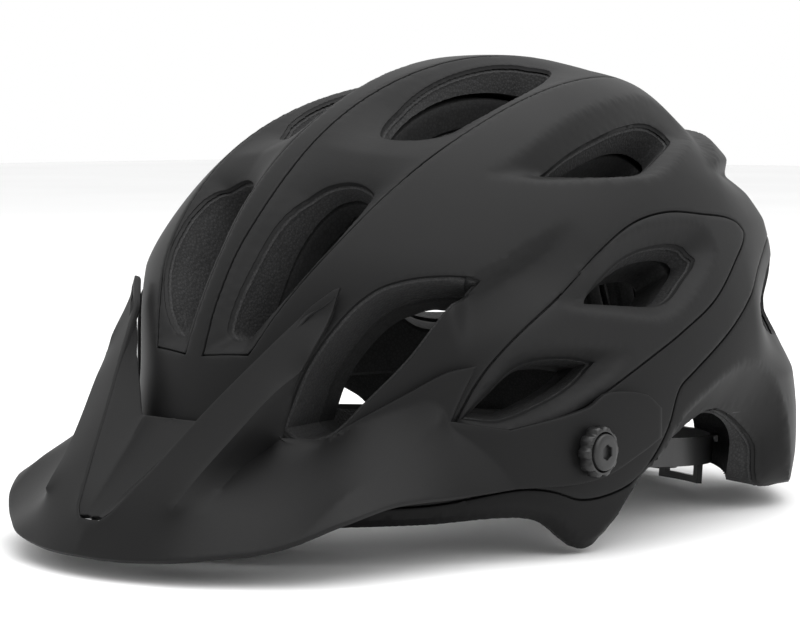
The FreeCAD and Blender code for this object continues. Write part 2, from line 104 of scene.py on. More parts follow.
def unit(vectors):
    vectors = np.asarray(vectors, float)
    return vectors / np.linalg.norm(vectors, axis=-1, keepdims=True)


def hull_radius(directions):
    """Distance in mm from the head's centre to the plain hull, along unit directions."""
    d = np.asarray(directions, float)
    radius = np.full(d.shape[:-1], FIRST_RADIUS)
    upright = d[..., 1] - LEAN * d[..., 2]
    length = np.where(upright < 0, FRONT, BACK)
    for _ in range(HULL_STEPS):
        y = d[..., 1] * radius
        z = d[..., 2] * radius
        width = HALF_WIDTH * (1 - BROW_NARROWING * smooth(-y, 60, 130) * (1 - smooth(z, 10, 60)))
        total = (np.abs(d[..., 0] / width) ** ROUNDNESS + np.abs(upright / length) ** ROUNDNESS
                 + np.abs(d[..., 2] / HEIGHT) ** ROUNDNESS)
        radius = total ** (-1 / ROUNDNESS)
    return radius


def slip_radius(directions, inset=0.0):
    """Distance to the surface between the two liners, which is round about the X axis."""
    d = np.asarray(directions, float)
    across = (SLIP_WIDTH - inset) ** -2
    round_x = (SLIP_RADIUS - inset) ** -2
    return (d[..., 0] ** 2 * across + (d[..., 1] ** 2 + d[..., 2] ** 2) * round_x) ** -0.5


def head_radius(directions, inset=0.0):
    """Distance to the head's ellipsoid, made smaller by the inset."""
    d = np.asarray(directions, float)
    return sum((d[..., k] / (HEAD[k] - inset)) ** 2 for k in range(3)) ** -0.5


# ---- the map of directions
MAP_CENTRE = unit([1, 0, 1])
MAP_BACK = np.array([0.0, 1.0, 0.0])
MAP_UP = np.cross(MAP_CENTRE, MAP_BACK)
MAP_SCALE = 118.0


def to_map(directions):
    """Map place in mm of unit directions: true distances from the map's centre, at the hull's size."""
    d = unit(directions)
    angle = np.arccos(np.clip(d @ MAP_CENTRE, -1, 1))
    across = np.stack([d @ MAP_BACK, d @ MAP_UP], -1)
    size = np.linalg.norm(across, axis=-1, keepdims=True)
    return across / np.maximum(size, 1e-9) * angle[..., None] * MAP_SCALE


def from_map(places):
    p = np.asarray(places, float) / MAP_SCALE
    angle = np.linalg.norm(p, axis=-1, keepdims=True)
    side = p / np.maximum(angle, 1e-9)
    sideways = side[..., :1] * MAP_BACK + side[..., 1:] * MAP_UP
    return np.cos(angle) * MAP_CENTRE + np.sin(angle) * sideways


# ---- curves and distances
def curve_through(points, closed=True, corners=(), step=1.1):
    """Even points along a smooth curve through the given ones. It has a kink at each index in corners."""
    pts = np.asarray(points, float)
    count = len(pts)
    spans = count if closed else count - 1
    out = []
    for i in range(spans):
        b, c = pts[i], pts[(i + 1) % count]
        a = pts[i - 1] if (closed or i > 0) and i not in corners else 2 * b - c
        after = (i + 2) % count
        ends = (i + 1) % count in corners or (not closed and i == spans - 1)
        d = 2 * c - b if ends else pts[after]
        n = max(2, int(np.linalg.norm(c - b) / step))
        chord = max(np.linalg.norm(c - b), 1e-9)
        m1 = (c - a) / (np.linalg.norm(b - a) + chord) * chord
        m2 = (d - b) / (np.linalg.norm(d - c) + chord) * chord
        for t in np.arange(n) / n:
            out.append((2 * t ** 3 - 3 * t ** 2 + 1) * b + (t ** 3 - 2 * t ** 2 + t) * m1
                       + (3 * t ** 2 - 2 * t ** 3) * c + (t ** 3 - t ** 2) * m2)
    if not closed:
        out.append(pts[-1])
    return np.array(out)


def outline_on_map(points, closed=True, corners=()):
    return curve_through(to_map(unit(points)), closed, corners)


def inside(places, polygon):
    """Which places lie inside a closed polygon."""
    x, y = places[:, 0], places[:, 1]
    result = np.zeros(len(places), bool)
    for (x1, y1), (x2, y2) in zip(polygon, np.roll(polygon, -1, axis=0)):
        if y1 == y2:
            continue
        crosses = (y1 > y) != (y2 > y)
        result ^= crosses & (x < (x2 - x1) * (y - y1) / (y2 - y1) + x1)
    return result


def gaps_to_segments(places, line):
    """For each segment of a line: its run, each place's share along it, gap to it and gap squared."""
    for a, b in zip(line, line[1:]):
        ab = b - a
        t = np.clip((places - a) @ ab / max(ab @ ab, 1e-12), 0, 1)
        gap = places - a - t[:, None] * ab
        yield ab, t, gap, np.einsum("ij,ij->i", gap, gap)


def distance(places, line, closed=True):
    """Distance of each place to the nearest point of a line."""
    best = np.full(len(places), np.inf)
    for _, _, _, square in gaps_to_segments(places, np.vstack([line, line[:1]]) if closed else line):
        best = np.minimum(best, square)
    return np.sqrt(best)


def on_hull(places):
    """Points of the plain hull in mm, at map places."""
    d = from_map(places)
    return d * hull_radius(d)[..., None]


# ---- outlines, wearer's left side
# Points are (x, y, z) in mm near the hull. Only their directions count.
# Each closed outline: which of its points are corners, and its points. The first nine are holes.
OUTLINES = {
    "window_front": ((), [
        (9, -130, 34), (9, -122, 50), (11, -107, 70), (17, -94, 81), (27, -88, 83), (37, -89, 76),
        (35, -108, 57), (28, -121, 44), (19, -129, 33), (13, -131, 31)]),
    "window_top": ((), [
        (20, -66, 98), (14, -46, 110), (13, -15, 118), (16, 14, 119), (24, 20, 116), (36, 2, 114),
        (43, -22, 108), (42, -48, 101), (34, -62, 98)]),
    "vent_brow": ((0, 6), [
        (34, -129, 3), (39, -126, -1), (46, -119, 1), (53, -110, 11), (63, -100, 25), (70, -91, 39),
        (76, -81, 50), (70, -88, 51), (61, -98, 50), (53, -105, 46), (46, -113, 37), (38, -121, 21)]),
    "vent_upper": ((0,), [
        (71, -42, 84), (69, -24, 91), (67, -4, 97), (64, 16, 101), (61, 34, 101), (63, 43, 99),
        (68, 39, 96), (75, 22, 91), (80, 4, 85), (81, -8, 82), (78, -25, 82)]),
    "vent_side": ((0,), [
        (94, -48, 42), (94, -38, 50), (94, -23, 57), (95, -7, 60), (96, 9, 59), (98, 12, 55), (100, 2, 48),
        (102, -12, 41), (99, -30, 41)]),
    "vent_low": ((0, 4), [
        (76, -89, 6), (81, -83, 14), (88, -75, 23), (96, -62, 25), (101, -50, 23), (97, -58, 16),
        (92, -69, 10), (84, -81, 5)]),
    "vent_back": ((), [
        (32, 110, 80), (46, 101, 76), (55, 101, 62), (52, 111, 46), (41, 121, 42), (31, 122, 54)]),
    "vent_tail": ((), [
        (5, 124, 66), (12, 122, 67), (16, 127, 46), (14, 132, 28), (8, 135, 20), (4, 134, 34)]),
    "vent_rear": ((), [
        (90, 58, 33), (86, 66, 43), (79, 79, 48), (71, 90, 47), (68, 97, 37), (72, 96, 27), (80, 86, 22),
        (88, 70, 24)]),
    "bevel_upper": ((0,), [
        (61, -66, 81), (64, -46, 89), (62, -20, 99), (58, 12, 106), (51, 44, 107), (53, 58, 102),
        (64, 54, 96), (76, 30, 88), (83, 6, 81), (82, -14, 80), (75, -42, 80)]),
    "bevel_side": ((), [
        (90, -58, 41), (91, -44, 53), (92, -24, 63), (92, -4, 65.5), (93, 18, 63), (97, 20, 55),
        (102, 4, 43), (104, -14, 35), (100, -34, 36)]),
    "bevel_low": ((0, 4), [
        (75.5, -90.5, 5), (80, -84, 16), (87, -76, 27), (97, -55, 29), (104, -32, 26), (101.5, -47, 16),
        (94, -69, 6), (84, -83, 2)]),
    "bevel_back": ((), [
        (24, 106, 92), (47, 90, 90), (65, 89, 68), (62, 106, 38), (40, 126, 30), (23, 128, 52)]),
    "channel": ((0, 16), [
        (4, -133, 25), (3.5, -127, 43), (4, -112, 63), (5, -71, 99), (6.5, -27, 117), (8, 20, 118),
        (9, 60, 107), (12, 84, 96), (17, 86, 94), (25, 70, 101), (36, 40, 110), (46, 0, 112),
        (49, -45, 100), (44, -84, 79), (36, -109, 57), (27, -123, 39), (21, -130, 26)]),
    "side_panel": ((0,), [
        (74, -91.5, 4), (79, -85, 18), (85, -77, 29.5), (91, -57, 45), (91, -38, 57), (91, -19, 66),
        (91, 0, 69), (92, 20, 68), (91, 42, 65), (93, 47, 61), (98, 33, 52), (103, 12, 39), (105, -9, 30),
        (105, -26, 23), (102, -45, 14), (99, -57, 8), (93, -71, 3), (86, -80, 0), (79, -88, -1)]),
}
HOLES = list(OUTLINES)[:9]
# Sharp steps in the skin: the fold behind the brow vent, and the spoiler edge at the back of the crown.
FOLD = [(70, -91, 50), (75, -81, 51.5), (79, -69, 57), (82, -53, 64), (83, -42, 70)]
SPOILER = [(20, 93, 92), (34, 88, 92), (52, 76, 91), (66, 62, 88), (78, 47, 80), (86, 40, 71)]
# Side-view lines, (y, z) from front to back: the lower rim, the crease above it, the shells' parting
# line and the inner liner's rim.
RIM = [
    (-170, -31), (-100, -29.5), (-80, -27.5), (-71, -29), (-62, -36), (-56, -39.5), (-50, -39.5),
    (-44, -33), (-39, -24.5), (-33, -18), (-24, -14.5), (-10, -8.5), (2, -3), (12, 0), (22, 0.5),
    (30, -1.5), (40, -5.5), (50, -11.5), (55.5, -17), (57.5, -25), (61, -31), (68, -33.5), (170, -34)]
CREASE = [
    (-170, -27.5), (-100, -26), (-80, -23.5), (-68, -25), (-58, -33), (-50, -34), (-42, -29), (-33, -17),
    (-23, -10), (-14, 0), (-8, 4.5), (4, 10), (14, 14), (28, 17), (42, 15), (54, 8), (62, -4), (66, -18),
    (72, -29), (88, -31.5), (170, -32)]
PARTING = [
    (-170, -24.5), (-100, -22), (-77, -17), (-68, -18), (-58, -21.5), (-47, -21), (-36, -17.5), (-27, -10),
    (-20, -1), (-14, 11), (-6, 16), (6, 22), (22, 30), (38, 39), (53, 48), (74, 56), (96, 58), (170, 54)]
INNER_RIM = [(-170, -21), (-84, -20), (-70, -12), (-56, -1), (170, -1)]
# The arch over the dial, at the back, and how much higher the crease and the inner rim pass over it.
ARCH_HALF_WIDTH = 46.0
ARCH_TOP = 6.0
ARCH_RISE = 9.0


def side_level(line, arch_rise=0.0):
    """Height of a side-view line at hull points, lifted over the arch at the back of the neck."""
    bends = curve_through(line, closed=False, step=2.0)

    def level(points):
        z = np.interp(points[:, 1], bends[:, 0], bends[:, 1])
        round_off = ARCH_HALF_WIDTH ** 2 - points[:, 0] ** 2
        arch = ARCH_TOP + arch_rise - ARCH_HALF_WIDTH + np.sqrt(np.maximum(round_off, 0))
        return np.where((points[:, 1] > 60) & (round_off > 0), np.maximum(z, arch), z)
    return level


def level_line(level, radius=hull_radius):
    """Map places, from the front centre line round to the back, where a layer meets a level."""
    around = np.radians(np.linspace(0, 180, 1441))
    low = np.full(len(around), math.radians(-40))
    high = np.full(len(around), math.radians(60))
    for _ in range(28):
        rise = (low + high) / 2
        d = np.stack([np.sin(around) * np.cos(rise), -np.cos(around) * np.cos(rise), np.sin(rise)], -1)
        points = d * radius(d)[:, None]
        above = points[:, 2] > level(points)
        high = np.where(above, rise, high)
        low = np.where(above, low, rise)
    return resample(to_map(d), LEVEL_SPACING)


def resample(line, step):
    """The same open line with even spacing."""
    lengths = np.r_[0, np.cumsum(np.linalg.norm(np.diff(line, axis=0), axis=1))]
    at = np.linspace(0, lengths[-1], max(2, int(lengths[-1] / step)))
    return np.stack([np.interp(at, lengths, line[:, k]) for k in range(line.shape[1])], -1)


def along(places, line):
    """Distance to an open line, side of it (1 to the left of its run) and share of its length."""
    lengths = np.r_[0, np.cumsum(np.linalg.norm(np.diff(line, axis=0), axis=1))]
    best = np.full(len(places), np.inf)
    side = np.zeros(len(places))
    share = np.zeros(len(places))
    for k, (ab, t, gap, square) in enumerate(gaps_to_segments(places, line)):
        nearer = square < best
        best = np.where(nearer, square, best)
        side = np.where(nearer, np.sign(ab[0] * gap[:, 1] - ab[1] * gap[:, 0]), side)
        share = np.where(nearer, (lengths[k] + t * math.sqrt(ab @ ab)) / lengths[-1], share)
    return np.sqrt(best), side, share


# ---- triangulated patches
class Net:
    """A triangulation of a flat map round some lines."""

    def __init__(self, border, lines, spacing):
        """border is a closed polygon of map places, and lines is a list of (places, closed)."""
        verts = []
        edges = []
        for line, closed in [(border, True)] + lines:
            start = len(verts)
            verts.extend(line)
            count = len(line)
            edges += [(start + i, start + (i + 1) % count) for i in range(count if closed else count - 1)]
        low = border.min(0)
        high = border.max(0)
        rise = spacing * math.sqrt(0.75)
        grid = []
        for row, y in enumerate(np.arange(low[1], high[1], rise)):
            grid += [(x, y) for x in np.arange(low[0] + (row % 2) * spacing / 2, high[0], spacing)]
        grid = np.array(grid)
        grid = grid[inside(grid, border)]
        clear = np.full(len(grid), True)
        for line, closed in [(border, True)] + lines:
            clear &= distance(grid, line, closed) > GRID_CLEARANCE * spacing
        verts = np.vstack([np.array(verts), grid[clear]])
        found = delaunay_2d_cdt([Vector(v) for v in verts], edges, [], 0, 1e-3)
        self.places = np.array([v[:] for v in found[0]])
        faces = np.array(found[2])
        centres = self.places[faces].mean(1)
        kept = inside(centres, border)
        self.faces = faces[kept]
        self.centres = centres[kept]

    def within(self, outline):
        return inside(self.centres, outline)


def neighbours_mean(values, faces, times, fixed=None):
    """Values averaged with their neighbours' over a mesh, which softens creases a little."""
    pairs = np.vstack([faces[:, [0, 1]], faces[:, [1, 2]], faces[:, [2, 0]]])
    pairs = np.vstack([pairs, pairs[:, ::-1]])
    for _ in range(times):
        total = np.zeros_like(values)
        count = np.zeros(len(values))
        np.add.at(total, pairs[:, 0], values[pairs[:, 1]])
        np.add.at(count, pairs[:, 0], 1)
        mean = (total.T / np.maximum(count, 1)).T
        smoothed = 0.5 * values + 0.5 * mean
        values = smoothed if fixed is None else np.where(fixed, values, smoothed)
    return values


def vertex_normals(points, faces):
    a, b, c = (points[faces[:, k]] for k in range(3))
    face_normals = np.cross(b - a, c - a)
    total = np.zeros_like(points)
    for k in range(3):
        np.add.at(total, faces[:, k], face_normals)
    return total / np.maximum(np.linalg.norm(total, axis=1, keepdims=True), 1e-12)


def slab_mesh(outer, inner, faces, gap, rounding, wall_steps=1, mirrored=False):
    """Vertices and faces of a closed sheet between two layers of points, with rounded, set-back edges.

    With mirrored set, the sheet's edge on the centre plane stays open and its mirror image is joined on.
    """
    used, packed = np.unique(faces, return_inverse=True)
    faces = packed.reshape(faces.shape)
    outer = outer[used]
    inner = inner[used]
    centre_line = np.abs(outer[:, 0]) < CENTRE_SNAP if mirrored else np.zeros(len(outer), bool)
    normals = vertex_normals(outer, faces)
    if np.einsum("ij,ij->i", normals, outer - inner).sum() < 0:
        faces = faces[:, ::-1]
        normals = -normals
    sides = np.vstack([faces[:, [0, 1]], faces[:, [1, 2]], faces[:, [2, 0]]])
    keys = sides[:, 0].astype(np.int64) * len(outer) + sides[:, 1]
    twins = sides[:, 1].astype(np.int64) * len(outer) + sides[:, 0]
    rim = sides[~np.isin(keys, twins)]
    rim = rim[~(centre_line[rim[:, 0]] & centre_line[rim[:, 1]])]

    run = outer[rim[:, 1]] - outer[rim[:, 0]]
    inward = np.zeros_like(outer)
    for k in range(2):
        step = unit(np.cross(normals[rim[:, k]], run) + 1e-12)
        np.add.at(inward, rim[:, k], step)
    length = np.linalg.norm(inward, axis=1, keepdims=True)
    inward = inward / np.maximum(length, 1e-9)
    mitre = np.where(length > 0, 1 / np.clip(length / 2, 0.62, 1), 0)
    inward *= mitre
    inward[centre_line, 0] = 0
    normals[centre_line, 0] = 0
    normals = unit(normals + 1e-15)

    edge = np.unique(rim)

    def rounded_edge(layer, facing, turn):
        """A layer's edge points, set back, and turned from its face (0) down to the wall (1)."""
        reach = gap + rounding * (1 - math.sin(turn * math.pi / 2))
        drop = rounding * (1 - math.cos(turn * math.pi / 2))
        return (layer + inward * reach - facing * drop)[edge]

    rows = [rounded_edge(outer, normals, turn) for turn in (0.0, 0.5, 1.0)]
    foot = rounded_edge(inner, -normals, 1.0)
    for step in range(1, wall_steps):
        rows.append(rows[2] + (foot - rows[2]) * step / wall_steps)
    rows += [foot, rounded_edge(inner, -normals, 0.0)]

    top = outer.copy()
    top[edge] = rows[0]
    bottom = inner.copy()
    bottom[edge] = rows[-1]
    verts = np.vstack([top, bottom] + rows[1:-1])
    count = len(outer)
    place = np.full(count, -1)
    place[edge] = np.arange(len(edge))
    all_faces = [tuple(f) for f in faces] + [tuple(f[::-1] + count) for f in faces]

    def ladder(vertex):
        between_faces = [2 * count + k * len(edge) + place[vertex] for k in range(len(rows) - 2)]
        return [vertex] + between_faces + [vertex + count]

    for a, b in rim:
        ladder_a, ladder_b = ladder(a), ladder(b)
        for k in range(len(ladder_a) - 1):
            all_faces.append((ladder_b[k], ladder_a[k], ladder_a[k + 1], ladder_b[k + 1]))
    if mirrored:
        joined = np.r_[centre_line, centre_line]
        joined = np.r_[joined, np.tile(centre_line[edge], len(rows) - 2)]
        verts[joined, 0] = 0
        total = len(verts)
        renumber = np.where(joined, np.arange(total), np.arange(total) + total)
        verts = np.vstack([verts, verts * [-1, 1, 1]])
        all_faces += [tuple(renumber[list(f)][::-1]) for f in all_faces]
    return verts, all_faces


def new_object(name, data):
    piece = bpy.data.objects.new(name, data)
    bpy.context.scene.collection.objects.link(piece)
    return piece


def add_mesh(name, verts, faces, material, crease=32, flip_x=False):
    """A mesh object from points in millimetres."""
    verts = np.asarray(verts, float) * MM
    if flip_x:
        verts = verts * [-1, 1, 1]
        faces = [tuple(f)[::-1] for f in faces]
    used = np.unique(np.concatenate([np.asarray(f) for f in faces]))
    place = np.full(len(verts), -1)
    place[used] = np.arange(len(used))
    mesh = bpy.data.meshes.new(name)
    mesh.from_pydata(verts[used].tolist(), [], [place[list(f)].tolist() for f in faces])
    mesh.validate()
    mesh.update()
    for polygon in mesh.polygons:
        polygon.use_smooth = True
    mesh.set_sharp_from_angle(angle=math.radians(crease))
    mesh.materials.append(material)
    return new_object(name, mesh)


def finish_piece(piece, body, node):
    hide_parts(node)
    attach(piece, body)


# ---- materials
def new_material(name, base, roughness, specular=0.5):
    """A Principled material, its node tree and its shader."""
    material = bpy.data.materials.new(name)
    material.use_nodes = True
    shader = material.node_tree.nodes["Principled BSDF"]
    shader.inputs["Base Color"].default_value = (*base, 1)
    shader.inputs["Roughness"].default_value = roughness
    shader.inputs["Specular IOR Level"].default_value = specular
    return material, material.node_tree, shader


def object_texture(tree, kind, settings, **sockets):
    """A texture node in object space. Its scale is per metre."""
    place = tree.nodes.new("ShaderNodeTexCoord")
    texture = tree.nodes.new("ShaderNodeTex" + kind)
    for name, value in settings.items():
        setattr(texture, name, value)
    for name, value in sockets.items():
        texture.inputs[name].default_value = value
    tree.links.new(place.outputs["Object"], texture.inputs["Vector"])
    return texture


def noise(tree, scale, detail=2.0, roughness=0.5):
    texture = object_texture(tree, "Noise", {}, Scale=scale, Detail=detail, Roughness=roughness)
    return texture.outputs["Fac"]


def cell_distance(tree, scale, feature, **sockets):
    texture = object_texture(tree, "Voronoi", {"feature": feature}, Scale=scale, **sockets)
    return texture.outputs["Distance"]


def ramp(tree, fac, low, high, at=(0.3, 0.7)):
    """A colour that goes from low to high. Each is an RGB triple."""
    node = tree.nodes.new("ShaderNodeValToRGB")
    node.color_ramp.elements[0].position = at[0]
    node.color_ramp.elements[1].position = at[1]
    node.color_ramp.elements[0].color = (*low, 1)
    node.color_ramp.elements[1].color = (*high, 1)
    tree.links.new(fac, node.inputs["Fac"])
    return node.outputs["Color"]


def spread(tree, fac, low, high):
    """A value from 0 to 1, spread from low to high."""
    node = tree.nodes.new("ShaderNodeMapRange")
    node.inputs["To Min"].default_value = low
    node.inputs["To Max"].default_value = high
    tree.links.new(fac, node.inputs["Value"])
    return node.outputs["Result"]


def bump(tree, shader, heights):
    """Chained bumps. Each is (height socket, strength, distance in metres)."""
    last = None
    for height, strength, distance_m in heights:
        node = tree.nodes.new("ShaderNodeBump")
        node.inputs["Strength"].default_value = strength
        node.inputs["Distance"].default_value = distance_m
        tree.links.new(height, node.inputs["Height"])
        if last:
            tree.links.new(last, node.inputs["Normal"])
        last = node.outputs["Normal"]
    tree.links.new(last, shader.inputs["Normal"])


def grey(level, tint=1.02):
    return (level, level, level * tint)


# Pointiness where the paler edges (partly wear, partly a painted highlight) begin and are full, and the
# patches per metre.
EDGE_POINTINESS = (0.505, 0.56)
PATCH_SCALE = 9.0


def patches_and_edge_wear_highlight(tree, base, edge_wear_and_highlight_lift):
    """Colour variation: slow patches over the whole piece, and slightly paler convex edges, partly wear and
    partly a painted highlight.
    """
    geometry = tree.nodes.new("ShaderNodeNewGeometry")
    edges = tree.nodes.new("ShaderNodeMapRange")
    edges.inputs["From Min"].default_value, edges.inputs["From Max"].default_value = EDGE_POINTINESS
    tree.links.new(geometry.outputs["Pointiness"], edges.inputs["Value"])
    patches = ramp(tree, noise(tree, PATCH_SCALE, 4.0, 0.6), grey(base * 0.9), grey(base * 1.1))
    mix = tree.nodes.new("ShaderNodeMix")
    mix.data_type = "RGBA"
    tree.links.new(edges.outputs["Result"], mix.inputs["Factor"])
    tree.links.new(patches, mix.inputs["A"])
    # The paler colour of the convex edges: partly wear, partly a painted highlight.
    mix.inputs["B"].default_value = (*grey(base + edge_wear_and_highlight_lift), 1)
    return mix.outputs["Result"]


def matte_skin(name, base, roughness, grain, edge_wear_and_highlight_lift, specular, grain_size=0.0006):
    """Matte polycarbonate or nylon: a fine moulded grain with slow gloss changes."""
    material, tree, shader = new_material(name, grey(base), roughness, specular)
    # Base colour: slow patches, and paler convex edges that are partly wear and partly a painted highlight.
    tree.links.new(patches_and_edge_wear_highlight(tree, base, edge_wear_and_highlight_lift), shader.inputs["Base Color"])
    gloss = spread(tree, noise(tree, 30, 3.0), roughness - 0.05, roughness + 0.05)
    tree.links.new(gloss, shader.inputs["Roughness"])
    bump(tree, shader, [(noise(tree, 1 / grain_size, 3.0, 0.6), grain, 0.00015),
                        (noise(tree, 60, 2.0), 0.05, 0.001)])
    return material


def bead_foam(name, base, bead, strength):
    """Expanded foam: rounded beads of uneven size, with dark pits where they meet."""
    material, tree, shader = new_material(name, grey(base), 0.75, 0.3)
    round_beads = cell_distance(tree, 1 / bead, "SMOOTH_F1", Smoothness=0.35)
    joints = cell_distance(tree, 1 / bead, "DISTANCE_TO_EDGE")
    colour = ramp(tree, joints, grey(base * 0.55), grey(base * 1.15), (0.0, 0.2))
    tree.links.new(colour, shader.inputs["Base Color"])
    tree.links.new(spread(tree, noise(tree, 400, 2.0), 0.6, 0.85), shader.inputs["Roughness"])
    invert = tree.nodes.new("ShaderNodeMath")
    invert.operation = "SUBTRACT"
    invert.inputs[0].default_value = 1.0
    tree.links.new(round_beads, invert.inputs[1])
    bump(tree, shader, [(invert.outputs["Value"], strength, 0.0006), (noise(tree, 2500, 2.0), 0.25, 0.0002)])
    return material


def knit_fabric(name, base):
    """Wicking knit: crossed rows of loops in object space, with a soft sheen."""
    material, tree, shader = new_material(name, grey(base), 0.9, 0.3)
    heights = []
    for direction, scale in (("DIAGONAL", 420), ("Z", 360)):
        wave = object_texture(tree, "Wave", {"bands_direction": direction}, Scale=scale, Distortion=1.2,
                              Detail=1.0)
        heights.append((wave.outputs["Fac"], 0.5, 0.0003))
    tree.links.new(ramp(tree, heights[0][0], grey(base * 0.7), grey(base * 1.4)), shader.inputs["Base Color"])
    shader.inputs["Sheen Weight"].default_value = 0.4
    shader.inputs["Sheen Roughness"].default_value = 0.5
    bump(tree, shader, heights + [(noise(tree, 3000, 2.0), 0.3, 0.0002)])
    return material


def metal(name, base, roughness):
    """Turned metal: fine gloss changes and a slow change of colour."""
    material, tree, shader = new_material(name, base, roughness)
    shader.inputs["Metallic"].default_value = 1.0
    lines = noise(tree, 1500, 2.0)
    gloss = spread(tree, lines, roughness - 0.07, roughness + 0.07)
    tree.links.new(gloss, shader.inputs["Roughness"])
    low = tuple(c * 0.85 for c in base)
    tree.links.new(ramp(tree, noise(tree, 120, 3.0), low, base), shader.inputs["Base Color"])
    bump(tree, shader, [(lines, 0.12, 0.0001)])
    return material


# The fifth number of each matte skin makes its convex edges paler: partly wear, partly a painted highlight.
SKIN = matte_skin("shell_skin", 0.0065, 0.48, 0.1, 0.003, 0.14)
LOWER_SKIN = matte_skin("lower_skin", 0.0052, 0.46, 0.08, 0.003, 0.12)
PANEL = matte_skin("panel_skin", 0.0085, 0.56, 0.3, 0.003, 0.15, grain_size=0.0009)
VISOR = matte_skin("visor_skin", 0.0062, 0.46, 0.1, 0.003, 0.14)
FOAM = bead_foam("bead_foam", 0.022, 0.0011, 0.3)
SMOOTH_FOAM = bead_foam("smooth_foam", 0.015, 0.0016, 0.08)
NYLON = matte_skin("satin_nylon", 0.006, 0.36, 0.06, 0.003, 0.35)
KNOB = matte_skin("knob_plastic", 0.007, 0.32, 0.05, 0.004, 0.4)
CAP = matte_skin("cap_anodised", 0.008, 0.42, 0.05, 0.004, 0.4)
RUBBER = matte_skin("soft_rubber", 0.007, 0.68, 0.2, 0.003, 0.35)
BRASS = metal("turned_brass", (0.72, 0.52, 0.26), 0.3)
FABRIC = knit_fabric("pad_knit", 0.016)


# ---- the outer layers
# The sharp steps' slope width and how far their low side takes to fade, in mm.
STEP_WIDTH = 4.5
FOLD_DEPTH, FOLD_FADE = 5.0, 24.0
SPOILER_DEPTH, SPOILER_FADE = 4.0, 30.0
# Depth of the channels and of the bevels round the vents, and the steepest slope of any recess.
CHANNEL_DEPTH = 7.0
BEVEL_DEPTHS = {"upper": 5.4, "side": 6.0, "low": 6.5, "back": 5.0}
STEEPEST = 0.75
# How far the lower skin tucks in under the crease, in front, and how much more behind the ears.
TUCK, MORE_TUCK = 3.0, 6.0
# How far the back stands out from the plain hull at each height, as (z, mm).
REAR_PROFILE = [
    (-45, 7.5), (-33, 7.5), (-20, 6.5), (-4, 4), (9, 1.5), (18, -3), (25, -6), (31, -8), (36, -7.5),
    (44, -4), (53, -1.5), (64, 0), (74, -1.5), (78, -3), (83, -5), (86, 0), (130, 0)]
# The foam's gap under the skin, its thinnest wall, and its gap outside the slip surface.
FOAM_GAP = 0.25
FOAM_LEAST = 1.6
FOAM_CLEARANCE = 0.5
# The inner liner's air grooves: their places on either side, half width, and depth.
GROOVE_PLACES = (16.5, 49.0)
GROOVE_HALF_WIDTH = 3.2
GROOVE_DEPTH = 4.0


def helmet_net():
    """The net of the outer layers and every outline on it."""
    lines = {name: outline_on_map(points, corners=corners) for name, (corners, points) in OUTLINES.items()}
    fold = outline_on_map(FOLD, closed=False)
    spoiler = outline_on_map(SPOILER, closed=False)
    rim = level_line(side_level(RIM))
    crease = level_line(side_level(CREASE, arch_rise=ARCH_RISE))
    parting = level_line(side_level(PARTING))
    inner_rim = level_line(side_level(INNER_RIM, arch_rise=ARCH_RISE), slip_radius)
    start = from_map(rim[0])
    stop = from_map(rim[-1])
    low = math.atan2(start[2], -start[1])
    high = math.pi - math.atan2(stop[2], stop[1])
    sweep = np.linspace(low, high, 360)
    middle = to_map(np.stack([np.zeros(len(sweep)), -np.cos(sweep), np.sin(sweep)], -1))
    border = np.vstack([middle, rim[::-1][1:-1]])
    constraints = [(line, True) for line in lines.values()]
    for step in (fold, spoiler):
        constraints.append((step, False))
        constraints.append((beside(step, STEP_WIDTH), False))
    constraints += [(crease[1:-1], False), (parting[1:-1], False), (inner_rim[1:-1], False)]
    net = Net(border, constraints, SPACING)
    lines.update(fold=fold, spoiler=spoiler, rim=rim, crease=crease, parting=parting)
    return net, lines


def beside(line, offset):
    """An open line's copy, moved to the right of its run."""
    run = np.gradient(line, axis=0)
    run /= np.linalg.norm(run, axis=1, keepdims=True)
    return line + np.stack([run[:, 1], -run[:, 0]], -1) * offset


def step_depth(places, line, deepest, fade):
    """Depth below a sharp step: full at the line's low side, none at its ends or far from it."""
    gap, side, share = along(places, line)
    ends = smooth(share, 0, 0.12) * (1 - smooth(share, 0.45, 1.0))
    past_ends = (share > 0) & (share < 1)
    low_side = (side < 0) & past_ends
    return np.where(low_side, deepest * ends * np.clip(gap / STEP_WIDTH, 0, 1)
                    * (1 - smooth(gap, STEP_WIDTH, STEP_WIDTH + fade)), 0)


def recess(places, outline, holes, deepest):
    """Depth of a recess: none outside its outline and deepest at the holes in it, nowhere too steep."""
    depth = np.zeros(len(places))
    at = inside(places, outline) | (distance(places, outline) < 0.05)
    near = places[at]
    to_edge = distance(near, outline)
    to_hole = np.full(len(near), np.inf)
    for hole in holes:
        to_hole = np.minimum(to_hole, np.where(inside(near, hole), 0, distance(near, hole)))
    width = np.maximum(to_edge + to_hole, 1e-6)
    depth[at] = to_edge / width * np.minimum(deepest, STEEPEST * width)
    return depth


def rear_offset(points):
    """The back's flare and its two notches, faded in behind the ears."""
    z, bulge = np.array(REAR_PROFILE).T
    return np.interp(points[:, 2], z, bulge) * smooth(points[:, 1], 38, 74)


